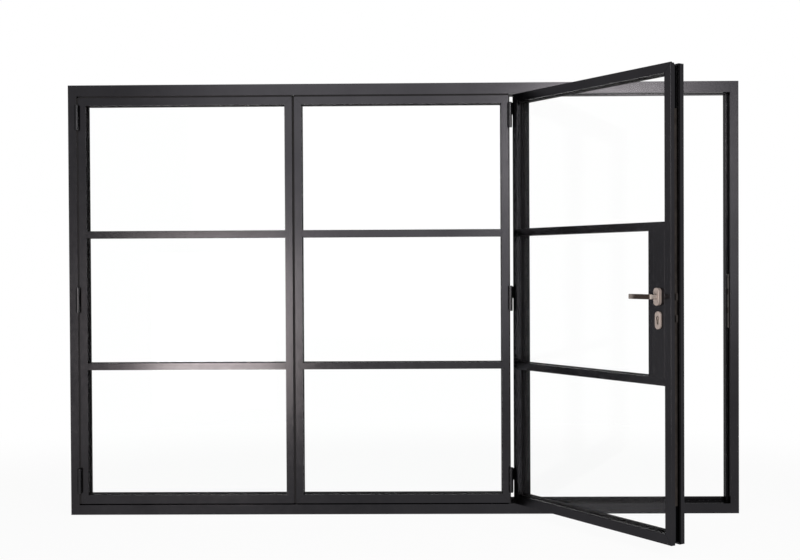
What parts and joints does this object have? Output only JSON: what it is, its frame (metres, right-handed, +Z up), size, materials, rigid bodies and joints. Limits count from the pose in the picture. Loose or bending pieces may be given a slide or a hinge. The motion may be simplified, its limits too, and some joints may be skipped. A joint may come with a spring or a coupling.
{
  "type": "aluminium bifold door",
  "caption": "Wide glazed folding door in a slim dark aluminium frame, with heritage glazing bars and an access leaf that stands open on its side hinges.",
  "frame": {"origin": "middle of the underside of the sill, at half the frame's depth", "axes": "+X along the frame to the right seen from outside, +Y from outside to inside, +Z up"},
  "size_m": [3.26, 0.9813, 2.1],
  "materials": {
    "frame_paint": "satin anthracite powder coat",
    "leaf_paint": "satin anthracite powder coat",
    "hinge_paint": "satin black coat",
    "seal_rubber": "matt black rubber",
    "glass": "clear",
    "handle_metal": "satin nickel",
    "lock_steel": "dark satin steel",
    "cylinder_brass": "satin nickel plate"
  },
  "bodies": {
    "frame": {"head": "frame_paint", "sill": "frame_paint", "sill_upstand": "frame_paint", "jamb_left": "frame_paint", "jamb_right": "frame_paint", "jamb_keep": "lock_steel", "leaf1_top_rail": "leaf_paint", "leaf1_bottom_rail": "leaf_paint", "leaf1_stile_left": "leaf_paint", "leaf1_stile_right": "leaf_paint", "leaf1_bars": "leaf_paint", "leaf1_glass": "glass", "leaf1_beads": "leaf_paint", "leaf2_top_rail": "leaf_paint", "leaf2_bottom_rail": "leaf_paint", "leaf2_stile_left": "leaf_paint", "leaf2_stile_right": "leaf_paint", "leaf2_bars": "leaf_paint", "leaf2_glass": "glass", "leaf2_beads": "leaf_paint", "folding_glazing_seals": "seal_rubber", "folding_edge_seals": "seal_rubber", "track_guides": "lock_steel", "folding_hinges": "hinge_paint", "door_hinges_fixed": "hinge_paint", "hinge_pins": "hinge_paint"},
    "access_leaf": {"door_top_rail": "leaf_paint", "door_bottom_rail": "leaf_paint", "door_stile_hinge": "leaf_paint", "door_stile_lock": "leaf_paint", "door_bars": "leaf_paint", "door_lock_mullion": "leaf_paint", "door_lock_panel": "leaf_paint", "door_glass": "glass", "door_beads": "leaf_paint", "door_glazing_seals": "seal_rubber", "door_top_seal": "seal_rubber", "door_lock_edge": "lock_steel", "door_roses": "handle_metal", "door_escutcheons": "handle_metal", "door_cylinder": "cylinder_brass", "door_hinges_moving": "hinge_paint"},
    "lever": {"lever_outside": "handle_metal", "lever_inside": "handle_metal", "lever_spindle": "lock_steel"}
  },
  "joints": [
    {"name": "access_leaf_swing", "type": "hinge", "parent": "frame", "child": "access_leaf", "pos_m": [0.5225, -0.06, 1.05], "axis": [0, 0, -1], "range_deg": [-56.8, 118.2]},
    {"name": "lever_turn", "type": "hinge", "parent": "access_leaf", "child": "lever", "pos_m": [1.06943, -0.87388, 1.078], "axis": [-0.8368, -0.5476, 0], "range_deg": [0, 40], "stiffness_Nm_per_rad": 1.2, "springref_deg": -28.65}
  ]
}
